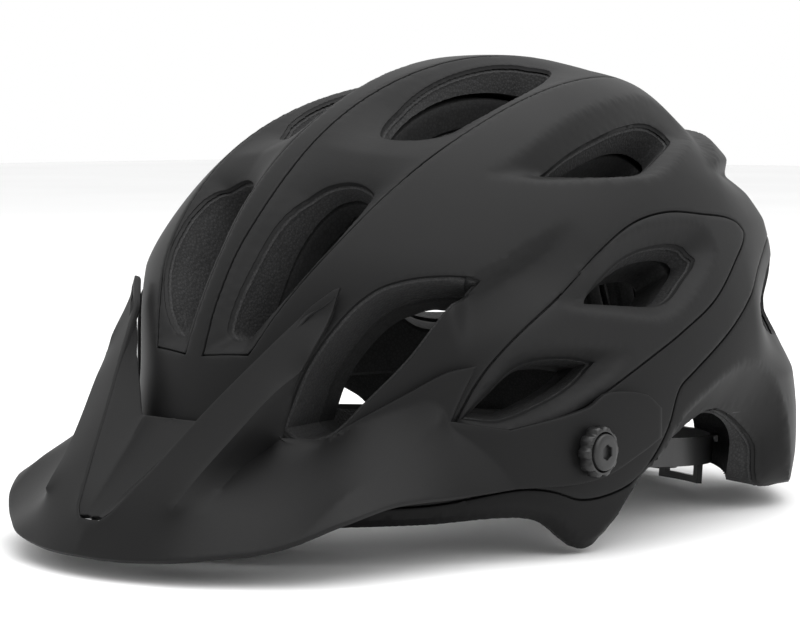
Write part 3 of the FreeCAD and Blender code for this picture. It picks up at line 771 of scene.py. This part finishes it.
def skin_offset(net, lines):
    """How far the skin stands out from the plain hull at each net point, in mm."""
    places = net.places
    points = on_hull(places)
    offset = rear_offset(points)
    channel = recess(places, lines["channel"], [lines["window_front"], lines["window_top"]], CHANNEL_DEPTH)
    offset -= channel * (0.45 + 0.55 * smooth(-points[:, 1], -40, 60)) * (1 - smooth(points[:, 1], 40, 92))
    for place, deepest in BEVEL_DEPTHS.items():
        offset -= recess(places, lines["bevel_" + place], [lines["vent_" + place]], deepest)
    offset -= step_depth(places, lines["fold"], FOLD_DEPTH, FOLD_FADE)
    offset -= step_depth(places, lines["spoiler"], SPOILER_DEPTH, SPOILER_FADE)

    to_rim = distance(places, lines["rim"], False)
    to_crease = distance(places, lines["crease"], False)
    crease_level = side_level(CREASE, arch_rise=ARCH_RISE)(points)
    below = points[:, 2] < crease_level + 0.01
    tuck = TUCK + MORE_TUCK * smooth(points[:, 1], -45, -12)
    offset -= np.where(below, tuck * to_crease / np.maximum(to_crease + to_rim, 1e-6), 0)
    return neighbours_mean(offset, net.faces, 1)


def air_grooves(directions):
    """Depth in mm of the long air grooves in the inner liner's face."""
    x = directions[:, 0] * 98
    high = smooth(directions[:, 2], 0.3, 0.55)
    return GROOVE_DEPTH * high * sum(np.exp(-((np.abs(x) - place) / GROOVE_HALF_WIDTH) ** 4)
                                     for place in GROOVE_PLACES)


def above_level(directions, radius, level):
    """Which directions meet a layer above a level."""
    points = directions * radius(directions)[:, None]
    return points[:, 2] > level(points)


def make_outer_layers():
    net, lines = helmet_net()
    offset = skin_offset(net, lines)
    directions = from_map(net.places)
    directions[np.abs(directions[:, 0]) < 2e-4, 0] = 0
    skin_radius = hull_radius(directions) + offset
    skin = directions * skin_radius[:, None]
    under_skin = directions * (skin_radius - SHELL_THICK)[:, None]

    holes = np.zeros(len(net.centres), bool)
    for name in HOLES:
        holes |= net.within(lines[name])
    channel = net.within(lines["channel"]) & ~holes
    panel = net.within(lines["side_panel"]) & ~holes
    centres = from_map(net.centres)
    lower = ~above_level(centres, hull_radius, side_level(PARTING)) & ~holes & ~panel
    upper = ~(holes | channel | panel | lower)

    for name, chosen, material in (("upper_shell", upper, SKIN), ("lower_shell", lower, LOWER_SKIN)):
        mesh = slab_mesh(skin, under_skin, net.faces[chosen], PARTING_GAP, EDGE_ROUND, mirrored=True)
        piece = add_mesh(name + "_skin", *mesh, material)
        finish_piece(piece, "helmet", name)
    for name, chosen in (("channel_panel", channel), ("side_panel", panel)):
        mesh = slab_mesh(skin, under_skin, net.faces[chosen], PARTING_GAP, EDGE_ROUND)
        for side, flip in SIDES:
            piece = add_mesh(f"{name}_skin_{side}", *mesh, PANEL, flip_x=flip)
            finish_piece(piece, "helmet", f"{name}_{side}")

    foam_radius = skin_radius - SHELL_THICK - FOAM_GAP
    bowl_radius = np.minimum(slip_radius(directions) + FOAM_CLEARANCE, foam_radius - FOAM_LEAST)
    foam = slab_mesh(directions * foam_radius[:, None], directions * bowl_radius[:, None],
                     net.faces[~holes], -0.7, 0.9, wall_steps=6, mirrored=True)
    piece = add_mesh("outer_liner_foam", *foam, FOAM)
    finish_piece(piece, "helmet", "outer_liner")

    chosen = above_level(centres, slip_radius, side_level(INNER_RIM, arch_rise=ARCH_RISE)) & ~holes
    carrier = directions * slip_radius(directions, SLIP_GAP)[:, None]
    lining = directions * (head_radius(directions) + air_grooves(directions))[:, None]
    inner = slab_mesh(carrier, lining, net.faces[chosen], -0.3, 1.2, wall_steps=4, mirrored=True)
    piece = add_mesh("inner_liner_foam", *inner, SMOOTH_FOAM)
    finish_piece(piece, "inner_liner", "inner_liner")


make_outer_layers()


# ---- the visor
# A place on the visor is (a, z): a is the arc in mm, at a radius of 110, about an upright axis behind it.
VISOR_AXIS_Y = -40.0
VISOR_ARC = 110.0
VISOR_THICK = 2.4
VISOR_CLEARANCE = 2.4
VISOR_SPACING = 1.3
# The plate is relaxed this many times between its feature lines, which hold the points this near to them.
VISOR_RELAX_STEPS = 150
HELD_WITHIN = 0.4
# Points in mm that the visor's outer face passes through, wearer's left side.
SEAM = [
    (4.4, -179.2, -22.8), (7.8, -177, -20), (10.2, -172.7, -15), (13.9, -166.2, -8), (17.6, -159.3, 0),
    (21.3, -152.4, 8), (25.5, -145.3, 16), (30, -138, 24), (34.5, -130.5, 32), (39.2, -122.4, 40),
    (45.5, -115.5, 46.8)]
FRONT_EDGE = [(0, -185, -33.5), (25.6, -181, -33), (47.5, -171, -30.3), (58.5, -163, -28.6)]
SIDE_EDGE = [
    (67.8, -155.5, -25), (76, -144.5, -20), (80.5, -125.5, -16.5), (86, -99.6, -16.8), (93.4, -76.8, -15.9),
    (104.4, -54.3, -14.2), (108.3, -37.8, -7.5), (109.5, -28.6, -3)]
ARM_TOP = [
    (109.2, -28.4, 6.5), (108.1, -35.1, 11.3), (104.4, -50.8, 13), (102.4, -58.9, 8.8), (89, -81.5, 2.8)]
FIN = [
    (75.6, -94.5, 5.8), (80.7, -87.9, 22.8), (73.4, -95.3, 20.4), (63.3, -104.9, 13.1), (53.9, -114.8, 6),
    (47, -121.7, 0.4)]
SCOOP_EDGE = [(40.5, -134.5, 1.5), (42, -133, 9), (43.2, -131.5, 16)]
HORN = [(45.3, -130.8, 22.5), (46.4, -128, 28), (47, -121.4, 36), (47.5, -115.1, 47.7)]
RIDGE = [(29.6, -172.2, -18), (32, -160.9, -7), (36.6, -149, 5.3), (41.3, -138.8, 16), (45.3, -130.8, 22.5)]
VALLEY = [(35.7, -165.6, -18.7), (34, -148.3, -8.5), (36, -137.2, -2.4), (40.5, -134.5, 1.5)]
ARM_CREASE = [
    (67.8, -155.5, -25), (71, -139.2, -14.5), (72.4, -115.5, -4.8), (75.6, -99.9, 6.6), (80.7, -87.9, 22.8)]
NOTCH = [(2.5, -178.2, -22.2), (13.9, -142.2, 6), (28.4, -131, 24), (37, -122.8, 36), (46, -114.6, 47)]
# The insert's heights: its low end, the notch at the end of its floor, and the tips of the horns.
INSERT_LOW = -22.6
NOTCH_HEIGHT = 6.0
HORN_HEIGHT = 46.6
NOTCH_MIDDLE = [(0, -178.8, INSERT_LOW), (0, -142.3, NOTCH_HEIGHT)]
INSERT_FLOOR_ROWS, INSERT_HORN_ROWS = 26, 34
INSERT_WALL_COLUMNS, INSERT_FLOOR_COLUMNS = 8, 12
INSERT_SETBACK = 0.25


def visor_place(points):
    """Visor places of points in mm."""
    p = np.asarray(points, float)
    return np.stack([np.arctan2(p[..., 0], VISOR_AXIS_Y - p[..., 1]) * VISOR_ARC, p[..., 2]], -1)


def visor_reach(points):
    """Distance of points from the visor's upright axis."""
    p = np.asarray(points, float)
    return np.hypot(p[..., 0], p[..., 1] - VISOR_AXIS_Y)


def visor_points(places, reach):
    turn = places[:, 0] / VISOR_ARC
    return np.stack([np.sin(turn) * reach, VISOR_AXIS_Y - np.cos(turn) * reach, places[:, 1]], -1)


SPLINE_SOFTNESS = 30.0


def spline_kernel(a, b):
    squares = ((a[:, None] - b[None]) ** 2).sum(-1)
    return squares * np.log(np.maximum(squares, 1e-9))


def smooth_through(points):
    """A function of visor places that passes smoothly by the given points and their mirror images."""
    places = visor_place(points)
    reach = visor_reach(points)
    off_centre = places[:, 0] > 0.5
    places = np.vstack([places, places[off_centre] * [-1, 1]])
    reach = np.r_[reach, reach[off_centre]]
    count = len(places)
    plane = np.c_[np.ones(count), places]
    kernel = spline_kernel(places, places) + SPLINE_SOFTNESS * np.eye(count)
    system = np.block([[kernel, plane], [plane.T, np.zeros((3, 3))]])
    weights = np.linalg.solve(system, np.r_[reach, 0, 0, 0])

    def value(at):
        return spline_kernel(at, places) @ weights[:count] + np.c_[np.ones(len(at)), at] @ weights[count:]
    return value


def off_the_shell(points, clearance):
    """Points moved out along their rays until they clear the shell."""
    size = np.linalg.norm(points, axis=1)
    directions = points / size[:, None]
    return directions * np.maximum(size, hull_radius(directions) + clearance)[:, None]


def visor_line(points, corners=()):
    return curve_through(visor_place(points), False, corners, 1.0)


def make_visor_plate():
    """The plate round the insert: a centre part up to the ridge, a scoop, and the side arms."""
    front = smooth_through(FRONT_EDGE + SEAM + RIDGE + HORN)
    side = smooth_through(FRONT_EDGE[1:] + SIDE_EDGE + ARM_TOP + FIN + SCOOP_EDGE + VALLEY + HORN[:1]
                          + ARM_CREASE[1:-1])
    seam, ridge, valley, arm_crease = (visor_line(line) for line in (SEAM, RIDGE, VALLEY, ARM_CREASE))
    ridge_line = np.vstack([visor_place(FRONT_EDGE[1]), ridge])
    valley_line = np.vstack([valley[0] + [0, -14], valley, visor_line(SCOOP_EDGE), visor_place(HORN[:1])])
    rim = [visor_line(FRONT_EDGE + SIDE_EDGE), visor_line(ARM_TOP, corners=(4,)),
           visor_line(FIN, corners=(0, 1, 5)), visor_line(SCOOP_EDGE + HORN, corners=(0, 3)), seam[::-1]]
    parts = rim[:1]
    for before, part in zip(rim, rim[1:]):
        apart = np.linalg.norm(part[0] - before[-1]) > 0.3
        parts.append(part if apart else part[1:])
    middle = np.linspace(seam[0][1], FRONT_EDGE[0][2], 12)[:-1]
    border = np.vstack(parts + [np.c_[np.zeros(len(middle)), middle]])
    net = Net(border, [(line[1:-1], False) for line in (ridge, valley, arm_crease)], VISOR_SPACING)

    places = net.places
    to_ridge, ridge_side, _ = along(places, ridge_line)
    to_valley, valley_side, _ = along(places, valley_line)
    share = np.where(valley_side < 0, 1, to_ridge / (to_ridge + to_valley + 1e-9))
    share = np.where(ridge_side > 0, 0, share)
    reach = front(places) * (1 - share) + side(places) * share
    outer = visor_points(places, reach)
    outer[np.abs(places[:, 0]) < 1e-3, 0] = 0
    held = distance(places, border) < HELD_WITHIN
    for line in (ridge, valley, arm_crease):
        held |= distance(places, line, False) < HELD_WITHIN
    outer = neighbours_mean(outer, net.faces, VISOR_RELAX_STEPS, fixed=held[:, None])
    outer = off_the_shell(outer, VISOR_CLEARANCE + VISOR_THICK)
    normals = vertex_normals(outer, net.faces)
    normals *= np.sign((normals * outer).sum(1, keepdims=True).mean())
    inner = off_the_shell(outer - normals * VISOR_THICK, VISOR_CLEARANCE)
    inner[np.abs(places[:, 0]) < 1e-3, 0] = 0
    mesh = slab_mesh(outer, inner, net.faces, 0.0, 0.5, wall_steps=2, mirrored=True)
    piece = add_mesh("visor_plate", *mesh, VISOR, crease=30)
    finish_piece(piece, "visor", "visor_shell")


def line_at(points, heights):
    """Points of a polyline at given heights."""
    p = np.array(points, float)
    order = np.argsort(p[:, 2])
    return np.stack([np.interp(heights, p[order, 2], p[order, k]) for k in range(3)], -1)


def make_visor_insert():
    """The trough between the two ridges: a flat floor up to the notch, and a wall up each horn."""
    heights = np.r_[np.linspace(INSERT_LOW, NOTCH_HEIGHT, INSERT_FLOOR_ROWS),
                    np.linspace(NOTCH_HEIGHT, HORN_HEIGHT, INSERT_HORN_ROWS)[1:]]
    seam, fold, middle = (line_at(line, heights) for line in (SEAM, NOTCH, NOTCH_MIDDLE))
    across_wall = np.linspace(0, 1, INSERT_WALL_COLUMNS)[:, None]
    across_floor = np.linspace(0, 1, INSERT_FLOOR_COLUMNS)[1:, None]
    rows = []
    for i in range(len(heights)):
        wall = seam[i] + (fold[i] - seam[i]) * across_wall
        floor = fold[i] + (middle[i] - fold[i]) * across_floor
        rows += [wall, floor]
    columns = INSERT_WALL_COLUMNS + INSERT_FLOOR_COLUMNS - 1
    points = np.vstack(rows)
    column = np.arange(len(points)) % columns
    faces = []
    for i in range(len(heights) - 1):
        for j in range(columns - 1 if i < INSERT_FLOOR_ROWS - 1 else INSERT_WALL_COLUMNS - 1):
            a = i * columns + j
            faces += [(a, a + 1, a + columns + 1), (a, a + columns + 1, a + columns)]
    faces = np.array(faces)
    points = neighbours_mean(points, faces, 1, fixed=np.isin(column, [0, columns - 1])[:, None])
    points[column == columns - 1, 0] = 0
    normals = vertex_normals(points, faces)
    normals *= np.sign((normals * points).sum(1).mean())
    inner = points - normals * VISOR_THICK
    inner = off_the_shell(inner, VISOR_CLEARANCE)
    inner[points[:, 0] == 0, 0] = 0
    points = off_the_shell(points - normals * INSERT_SETBACK, VISOR_CLEARANCE + 0.6 * VISOR_THICK)
    mesh = slab_mesh(points, inner, faces, 0.3, 0.3, mirrored=True)
    piece = add_mesh("visor_inlay", *mesh, VISOR, crease=24)
    finish_piece(piece, "visor", "visor_insert")


make_visor_plate()
make_visor_insert()


# ---- visor knobs
def ring_mesh(loops, closed_section):
    """Faces that join equal loops of points into a surface. The last loop joins the first if it is closed."""
    count = len(loops[0])
    faces = []
    for k in range(len(loops) if closed_section else len(loops) - 1):
        upper = k * count
        lower = (k + 1) % len(loops) * count
        for i in range(count):
            following = (i + 1) % count
            faces.append((upper + i, upper + following, lower + following, lower + i))
    return np.vstack(loops), faces


SCALLOPS = 10
SCALLOP_DEPTH = 0.55
# The ring's section and the bolt cap's, as (radius over the outer radius, mm from the outer face).
RING_SECTION = [
    (0.76, -4.6), (0.76, -0.3), (0.785, 0), (0.87, 0), (0.93, -0.2), (0.97, -0.6), (0.99, -1.3), (1, -3.6),
    (0.96, -4.4), (0.93, -4.6)]
CAP_SECTION = [(0.7, 0), (0.85, -0.1), (0.94, -0.3), (0.985, -0.65), (1, -1.1), (1, -3.0), (0.35, -3.0)]
HEX_ACROSS = 4.5
HEX_DEPTH = 1.5
HEX_CHAMFER = 0.25
BOLT_RADIUS = 2.5
BOLT_CHAMFER = 0.4
# The small loop that the hexagon's floor and the bolt's end close on.
POLE = 0.02
KNOB_POINTS = 240


def ring_at(x, reach, centre, turn):
    y = centre[1] + reach * np.cos(turn)
    z = centre[2] + reach * np.sin(turn)
    return np.stack([np.full(len(turn), x), y, z], -1)


def make_knobs():
    low, high = (np.array(corner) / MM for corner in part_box("visor_knob_left"))
    cap_low, cap_high = (np.array(corner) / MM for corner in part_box("visor_bolt_left"))
    centre = (cap_low + cap_high) / 2
    outer = (high[2] - low[2]) / 2
    turn = np.linspace(0, 2 * math.pi, KNOB_POINTS, endpoint=False)
    scallop = np.clip(np.cos(SCALLOPS * turn) * 1.25 + 0.35, -1, 1) - 1
    loops = []
    for share, depth in RING_SECTION:
        bite = SCALLOP_DEPTH * smooth(share, 0.85, 0.96)
        loops.append(ring_at(high[0] + depth, outer * share + bite * scallop, centre, turn))
    verts, faces = ring_mesh(loops, closed_section=True)
    for side, flip in SIDES:
        piece = add_mesh("knob_ring_" + side, verts, faces, KNOB, crease=40, flip_x=flip)
        finish_piece(piece, "knob_" + side, "visor_knob_" + side)

    hexagon = HEX_ACROSS / 2 / np.cos((turn + math.pi / 6) % (math.pi / 3) - math.pi / 6)
    cap_radius = (cap_high[2] - cap_low[2]) / 2 - 0.1
    top = cap_high[0]
    end = cap_low[0]
    section = [(top - HEX_DEPTH, POLE), (top - HEX_DEPTH, hexagon), (top - HEX_CHAMFER, hexagon),
               (top - 0.02, hexagon + HEX_CHAMFER)]
    section += [(top + depth, cap_radius * share) for share, depth in CAP_SECTION]
    section += [(top + CAP_SECTION[-1][1], BOLT_RADIUS), (end + BOLT_CHAMFER, BOLT_RADIUS),
                (end, BOLT_RADIUS - BOLT_CHAMFER), (end, POLE)]
    verts, faces = ring_mesh([ring_at(x, reach, centre, turn) for x, reach in section], closed_section=False)
    count = len(turn)
    faces.append(tuple(range(count))[::-1])
    faces.append(tuple(range(len(verts) - count, len(verts))))
    for side, flip in SIDES:
        piece = add_mesh("bolt_cap_" + side, verts, faces, CAP, crease=35, flip_x=flip)
        finish_piece(piece, "knob_" + side, "visor_bolt_" + side)


make_knobs()


# ---- comfort pads
PAD_GAP = 0.4
PAD_THICK = 4.8
PAD_ROWS, PAD_COLUMNS = 96, 32
HEM_WIDTH = 2.6
HEM_THICK = 1.3
STITCH_DEPTH, STITCH_WIDTH = 0.4, 0.5
# The pad is full this far inside its hem. A sewn channel takes this share of what is above its own floor.
CROWN_REACH = 5.5
SEWN_SHARE, SEWN_FLOOR, SEWN_WIDTH = 0.55, 1.0, 1.5
# The hem's outer edge: its thickness, and the width over which it rounds off.
EDGE_THICK, EDGE_WIDTH = 0.25, 0.6
MM_PER_DEGREE = 95 * math.pi / 180
# Each pad: middle and half spans in degrees, along its length and across it, and its number of cells.
# A band pad lies round the head (azimuth from the front, elevation). A crown pad lies from front to back
# (angle from straight up, sideways lean).
PADS = {
    "brow_pad": ("band", (0, 36), (-3, 6.3), 6),
    "crown_pad": ("crown", (-3, 33), (0, 7), 6),
    "side_pad_left": ("crown", (1, 24), (19.6, 6.3), 5),
    "side_pad_right": ("crown", (1, 24), (-19.6, 6.3), 5),
    "rear_pad": ("band", (180, 23), (36.5, 4.6), 4),
}


def pad_directions(kind, along_deg, across_deg):
    a = np.radians(along_deg)
    b = np.radians(across_deg)
    if kind == "band":
        return np.stack([np.sin(a) * np.cos(b), -np.cos(a) * np.cos(b), np.sin(b)], -1)
    return np.stack([np.sin(b), np.cos(b) * np.sin(a), np.cos(b) * np.cos(a)], -1)


def make_pad(name, kind, length, width, cells):
    """A hemmed pillow with sewn channels across it, flat on the liner and crowned toward the head."""
    u = np.linspace(-0.992, 0.992, PAD_ROWS)[:, None]
    v = np.linspace(-1, 1, PAD_COLUMNS)[None, :]
    narrowing = (1 - np.abs(u) ** 7) ** (1 / 2.5)
    directions = pad_directions(kind, length[0] + length[1] * u + 0 * v, width[0] + width[1] * v * narrowing)
    from_end = (1 - np.abs(u)) * length[1] * MM_PER_DEGREE
    from_side = (1 - np.abs(v)) * width[1] * MM_PER_DEGREE * narrowing
    inset = np.minimum(from_end + 0 * v, from_side)
    crown = np.sqrt(np.clip((inset - HEM_WIDTH) / CROWN_REACH, 0, 1))
    crown = crown * (2 - crown) ** 0.6
    stitches = STITCH_DEPTH * np.exp(-((inset - HEM_WIDTH) / STITCH_WIDTH) ** 2)
    thick = HEM_THICK - stitches + (PAD_THICK - HEM_THICK) * np.minimum(crown, 1)
    for k in range(1, cells):
        seam = (u - (2 * k / cells - 1)) * length[1] * MM_PER_DEGREE
        thick = thick - SEWN_SHARE * (thick - SEWN_FLOOR) * np.exp(-(seam / SEWN_WIDTH) ** 2)
    edge = np.minimum(inset / EDGE_WIDTH, 1)
    thick = EDGE_THICK + (thick - EDGE_THICK) * np.sqrt(np.clip(edge, 0, 1))
    flat = directions.reshape(-1, 3)
    outer = flat * head_radius(flat, PAD_GAP)[:, None]
    inner = flat * (head_radius(flat, PAD_GAP) - thick.reshape(-1))[:, None]
    rows, columns = PAD_ROWS, PAD_COLUMNS
    count = rows * columns
    faces = []
    for i in range(rows - 1):
        for j in range(columns - 1):
            a = i * columns + j
            faces.append((a, a + 1, a + columns + 1, a + columns))
            faces.append((a + count, a + columns + count, a + columns + 1 + count, a + 1 + count))
    rim = ([(0, j) for j in range(columns)] + [(i, columns - 1) for i in range(1, rows)]
           + [(rows - 1, j) for j in range(columns - 2, -1, -1)] + [(i, 0) for i in range(rows - 2, 0, -1)])
    rim = [i * columns + j for i, j in rim]
    for a, b in zip(rim, rim[1:] + rim[:1]):
        faces.append((b, a, a + count, b + count))
    piece = add_mesh(name + "_quilted", np.vstack([outer, inner]), faces, FABRIC, crease=75)
    finish_piece(piece, "inner_liner", name)


for pad_name, shape in PADS.items():
    make_pad(pad_name, *shape)


# ---- finishes of the nodes kept as they are
NODE_FINISHES = dict.fromkeys(("front_strap_anchors", "rear_strap_anchors", "visor_washer_left",
                               "visor_washer_right", "cradle_frame", "dial_housing", "dial_pinion",
                               "fit_belt_left", "fit_belt_right", "temple_hanger_left",
                               "temple_hanger_right", "height_rail"), NYLON)
NODE_FINISHES.update(slip_plugs=RUBBER, fit_dial=RUBBER, visor_nut_left=BRASS, visor_nut_right=BRASS)
for node_name, finish in NODE_FINISHES.items():
    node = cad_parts[node_name]
    if not node.material_slots:
        node.data.materials.append(finish)
    for material_slot in node.material_slots:
        material_slot.material = finish


# ---- floor, lights and camera
FLOOR_REACH = 6.0
FLOOR_DROP = 0.0004
CAMERA_AZIMUTH, CAMERA_ELEVATION, CAMERA_DISTANCE = 40.0, 6.5, 0.879


def make_stage():
    material, tree, shader = new_material("pale_floor", (0.92, 0.92, 0.92), 0.7, 0.2)
    tint = ramp(tree, noise(tree, 2, 2.0), grey(0.90, 1.0), grey(0.93, 1.0))
    tree.links.new(tint, shader.inputs["Base Color"])
    mesh = bpy.data.meshes.new("studio_floor")
    corners = [(x * FLOOR_REACH, y * FLOOR_REACH, float(cad_box[0][2]) - FLOOR_DROP)
               for x, y in ((-1, -1), (1, -1), (1, 1), (-1, 1))]
    mesh.from_pydata(corners, [], [(0, 1, 2, 3)])
    mesh.materials.append(material)
    new_object("studio_floor", mesh)


def area_light(name, place, target, size, power):
    light = bpy.data.lights.new(name, "AREA")
    light.shape = "RECTANGLE"
    light.size, light.size_y = size
    light.energy = power
    lamp = new_object(name, light)
    lamp.location = place
    lamp.rotation_euler = (Vector(target) - Vector(place)).to_track_quat("-Z", "Y").to_euler()


def make_lights():
    world = bpy.data.worlds.new("studio")
    world.use_nodes = True
    background = world.node_tree.nodes["Background"]
    background.inputs["Color"].default_value = (1, 1, 1, 1)
    background.inputs["Strength"].default_value = 1.0
    bpy.context.scene.world = world
    bpy.context.scene.view_settings.view_transform = "Standard"
    area_light("key_top", (0.3, 0.0, 1.6), (0, 0, 0), (2.4, 2.2), 34)
    area_light("fill_left", (1.4, -0.2, 0.7), (0, 0, 0.03), (0.9, 0.9), 4)


def make_camera():
    azimuth = math.radians(CAMERA_AZIMUTH)
    elevation = math.radians(CAMERA_ELEVATION)
    toward = Vector((math.sin(azimuth) * math.cos(elevation), -math.cos(azimuth) * math.cos(elevation),
                     math.sin(elevation)))
    camera_data = bpy.data.cameras.new("camera")
    camera_data.lens = 108.0
    camera_data.sensor_width = 36.0
    camera_data.shift_x = -0.075
    camera_data.shift_y = 0.109
    camera_data.clip_start = 0.01
    camera = new_object("camera", camera_data)
    camera.location = toward * CAMERA_DISTANCE
    camera.rotation_euler = (-toward).to_track_quat("-Z", "Y").to_euler()
    bpy.context.scene.camera = camera


make_stage()
make_lights()
make_camera()
